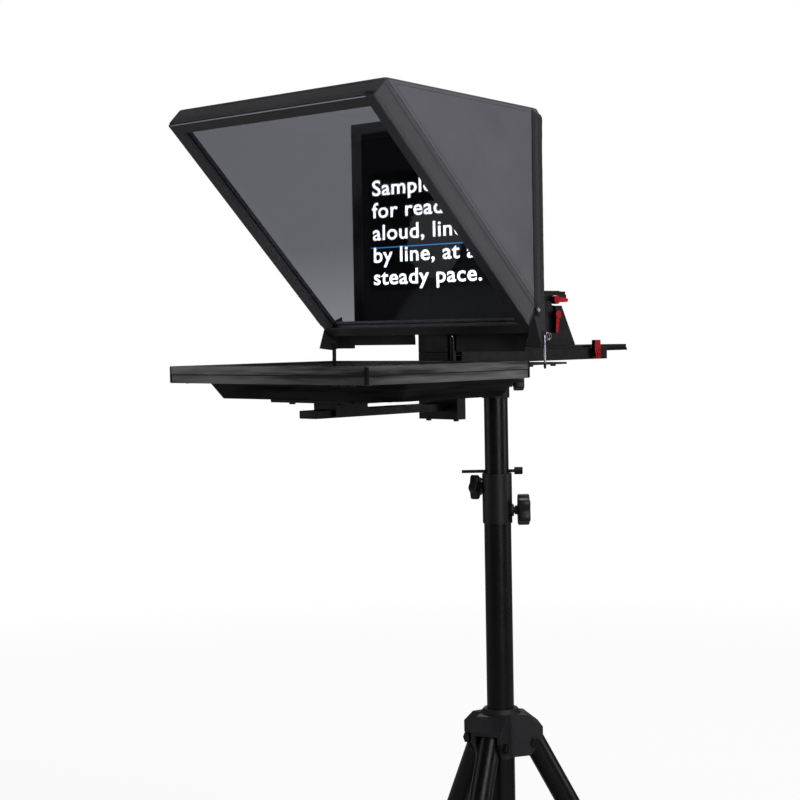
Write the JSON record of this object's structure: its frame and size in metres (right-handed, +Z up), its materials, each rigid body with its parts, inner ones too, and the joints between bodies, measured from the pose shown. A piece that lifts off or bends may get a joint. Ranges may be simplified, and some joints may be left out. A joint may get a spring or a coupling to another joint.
{
  "type": "camera teleprompter on a stand",
  "caption": "Camera teleprompter: sloping beam-splitter glass in a fabric hood over a flat monitor, with a camera sled and clamp levers, on a folding tripod stand.",
  "frame": {"origin": "middle of the footprint, on the floor", "axes": "+Z up; -Y towards the person being filmed; +X to the right as that person sees it"},
  "size_m": [0.6198, 0.782, 1.5532],
  "materials": {
    "anodised_black": "satin black anodised",
    "satin_black_steel": "satin black paint",
    "cast_black": "matt black painted casting",
    "hood_fabric": "dark grey woven",
    "hood_binding": "darker grey woven",
    "coated_glass": "beam-splitter coating",
    "display_surface": "dark glossy screen",
    "casing_plastic": "glossy dark grey",
    "black_plastic": "fine-grained black",
    "red_anodised": "bright red anodised",
    "bright_steel": "plain bright",
    "foot_rubber": "matt black",
    "circuit_board": "green solder mask"
  },
  "bodies": {
    "stand_column": {"lower_column_tube": "satin_black_steel", "collar": "black_plastic", "leg_hub": "cast_black"},
    "leg_1": {"leg_1": "satin_black_steel", "rubber_foot_1": "foot_rubber"},
    "leg_2": {"leg_2": "satin_black_steel", "rubber_foot_2": "foot_rubber"},
    "leg_3": {"leg_3": "satin_black_steel", "rubber_foot_3": "foot_rubber"},
    "brace_spider": {"brace_spider": "cast_black"},
    "brace_1": {"brace_1": "satin_black_steel"},
    "brace_2": {"brace_2": "satin_black_steel"},
    "brace_3": {"brace_3": "satin_black_steel"},
    "column_knob_left": {"column_knob_left": "black_plastic"},
    "column_knob_right": {"column_knob_right": "black_plastic"},
    "upper_column": {"upper_column_tube": "satin_black_steel"},
    "safety_pin": {"safety_pin": "satin_black_steel"},
    "head": {"head_socket": "cast_black", "base_rail": "anodised_black", "hinge_base": "anodised_black", "hood_guide_post": "satin_black_steel", "hanging_block": "anodised_black", "monitor_arm_bar": "anodised_black"},
    "hood": {"hood_hinge_leaf": "anodised_black", "frame_bar_bottom": "anodised_black", "frame_bar_right": "anodised_black", "frame_bar_top": "anodised_black", "frame_bar_left": "anodised_black", "beam_splitter_glass": "coated_glass", "hood_flap_left": "hood_binding", "hood_flap_right": "hood_binding", "hood_flap_top": "hood_binding", "hood_side_left": "hood_fabric", "hood_side_right": "hood_fabric", "hood_top": "hood_fabric", "hood_rear_curtain": "hood_binding", "roof_bracket": "black_plastic"},
    "head_clamp_knob": {"head_clamp_knob": "black_plastic"},
    "hood_strap": {"hood_strap": "hood_binding"},
    "hood_pull": {"hood_pull": "bright_steel"},
    "monitor": {"monitor_bezel": "casing_plastic", "display_panel": "display_surface", "monitor_rear_cover": "casing_plastic", "display_driver_board": "circuit_board", "monitor_plate": "anodised_black", "arm_slider": "anodised_black"},
    "arm_lock_knob": {"arm_lock_knob": "black_plastic"},
    "power_button": {"power_button": "black_plastic"},
    "menu_button": {"menu_button": "black_plastic"},
    "source_button": {"source_button": "black_plastic"},
    "sled": {"sled_plate": "anodised_black", "riser_bracket": "anodised_black"},
    "sled_clamp_lever": {"sled_clamp_lever": "red_anodised"},
    "riser": {"camera_support": "anodised_black", "quick_release_clamp": "anodised_black"},
    "riser_clamp_lever": {"riser_clamp_lever": "red_anodised"},
    "camera_plate": {"camera_plate": "anodised_black"},
    "camera_screw": {"camera_screw": "bright_steel"},
    "quick_release_lever": {"quick_release_lever": "red_anodised"}
  },
  "joints": [
    {"name": "leg_1_fold", "type": "hinge", "parent": "stand_column", "child": "leg_1", "pos_m": [0.07848, 0.04918, 0.558], "axis": [0.9397, 0.342, 0], "range_deg": [0, 25.4]},
    {"name": "leg_2_fold", "type": "hinge", "parent": "stand_column", "child": "leg_2", "pos_m": [0.09412, 0.13788, 0.558], "axis": [-0.766, 0.6428, 0], "range_deg": [0, 25.4]},
    {"name": "leg_3_fold", "type": "hinge", "parent": "stand_column", "child": "leg_3", "pos_m": [0.00948, 0.10708, 0.558], "axis": [-0.1736, -0.9848, 0], "range_deg": [0, 25.4]},
    {"name": "spider_slide", "type": "slide", "parent": "stand_column", "child": "brace_spider", "axis": [0, 0, -1], "range_m": [0, 0.03783]},
    {"name": "brace_1_fold", "type": "hinge", "parent": "brace_spider", "child": "brace_1", "pos_m": [0.07027, 0.07173, 0.1243], "axis": [-0.9397, -0.342, 0], "range_deg": [0, 26.24]},
    {"name": "brace_2_fold", "type": "hinge", "parent": "brace_spider", "child": "brace_2", "pos_m": [0.07869, 0.1195, 0.1243], "axis": [0.766, -0.6428, 0], "range_deg": [0, 26.24]},
    {"name": "brace_3_fold", "type": "hinge", "parent": "brace_spider", "child": "brace_3", "pos_m": [0.03312, 0.10291, 0.1243], "axis": [0.1736, 0.9848, 0], "range_deg": [0, 26.24]},
    {"name": "column_extend", "type": "slide", "parent": "stand_column", "child": "upper_column", "axis": [0, 0, 1], "range_m": [0, 0.2]},
    {"name": "column_knob_left_turn", "type": "hinge", "parent": "stand_column", "child": "column_knob_left", "pos_m": [0.0335, 0.08537, 0.966], "axis": [-0.9063, -0.4226, 0], "continuous": true},
    {"name": "column_knob_right_turn", "type": "hinge", "parent": "stand_column", "child": "column_knob_right", "pos_m": [0.08191, 0.11926, 0.929], "axis": [0.7071, 0.7071, 0], "continuous": true},
    {"name": "safety_pin_pull", "type": "slide", "parent": "upper_column", "child": "safety_pin", "axis": [0.7071, 0.7071, 0], "range_m": [0, 0.06]},
    {"name": "head_pan", "type": "hinge", "parent": "upper_column", "child": "head", "pos_m": [0.06069, 0.09805, 1.1], "axis": [0, 0, 1], "continuous": true},
    {"name": "hood_tilt", "type": "hinge", "parent": "head", "child": "hood", "pos_m": [0.06069, -0.01495, 1.18415], "axis": [-1, 0, 0], "range_deg": [0, 8]},
    {"name": "head_clamp_knob_turn", "type": "hinge", "parent": "head", "child": "head_clamp_knob", "pos_m": [0.08191, 0.11926, 1.1325], "axis": [0.7071, 0.7071, 0], "continuous": true},
    {"name": "hood_strap_swing", "type": "hinge", "parent": "hood", "child": "hood_strap", "pos_m": [-0.15331, -0.05215, 1.203], "axis": [1, 0, 0], "range_deg": [0, 20]},
    {"name": "hood_pull_swing", "type": "hinge", "parent": "hood", "child": "hood_pull", "pos_m": [0.28369, -0.04415, 1.2115], "axis": [1, 0, 0], "range_deg": [-20, 20]},
    {"name": "monitor_slide", "type": "slide", "parent": "head", "child": "monitor", "axis": [0, 1, 0], "range_m": [-0.04, 0.006]},
    {"name": "arm_lock_knob_turn", "type": "hinge", "parent": "monitor", "child": "arm_lock_knob", "pos_m": [0.03669, -0.24095, 1.101], "axis": [-1, 0, 0], "continuous": true},
    {"name": "power_button_press", "type": "slide", "parent": "monitor", "child": "power_button", "axis": [0, 0, 1], "range_m": [0, 0.0012], "stiffness_N_per_m": 30, "springref_m": -0.002},
    {"name": "menu_button_press", "type": "slide", "parent": "monitor", "child": "menu_button", "axis": [0, 0, 1], "range_m": [0, 0.0012], "stiffness_N_per_m": 30, "springref_m": -0.002},
    {"name": "source_button_press", "type": "slide", "parent": "monitor", "child": "source_button", "axis": [0, 0, 1], "range_m": [0, 0.0012], "stiffness_N_per_m": 30, "springref_m": -0.002},
    {"name": "sled_slide", "type": "slide", "parent": "head", "child": "sled", "axis": [0, 1, 0], "range_m": [-0.05, 0.05]},
    {"name": "sled_clamp_lever_turn", "type": "hinge", "parent": "head", "child": "sled_clamp_lever", "pos_m": [0.10599, 0.29305, 1.1735], "axis": [1, 0, 0], "range_deg": [-60, 60]},
    {"name": "riser_lift", "type": "slide", "parent": "sled", "child": "riser", "axis": [0, 0, 1], "range_m": [0, 0.02]},
    {"name": "riser_clamp_lever_turn", "type": "hinge", "parent": "riser", "child": "riser_clamp_lever", "pos_m": [0.09899, 0.20105, 1.24], "axis": [1, 0, 0], "range_deg": [-60, 60]},
    {"name": "camera_plate_slide", "type": "slide", "parent": "riser", "child": "camera_plate", "axis": [0, 1, 0], "range_m": [-0.03, 0.03]},
    {"name": "camera_screw_turn", "type": "hinge", "parent": "camera_plate", "child": "camera_screw", "pos_m": [0.06069, 0.17305, 1.273], "axis": [0, 0, 1], "continuous": true},
    {"name": "quick_release_lever_turn", "type": "hinge", "parent": "riser", "child": "quick_release_lever", "pos_m": [0.09499, 0.20305, 1.264], "axis": [1, 0, 0], "range_deg": [0, 90]}
  ],
  "couplings": [
    {"joint": "leg_2_fold", "follows": "leg_1_fold", "ratio": 1},
    {"joint": "leg_3_fold", "follows": "leg_1_fold", "ratio": 1},
    {"joint": "spider_slide", "follows": "leg_1_fold", "m_per_rad": 0.084893},
    {"joint": "brace_1_fold", "follows": "leg_1_fold", "ratio": 1.0309},
    {"joint": "brace_2_fold", "follows": "leg_1_fold", "ratio": 1.0309},
    {"joint": "brace_3_fold", "follows": "leg_1_fold", "ratio": 1.0309}
  ]
}
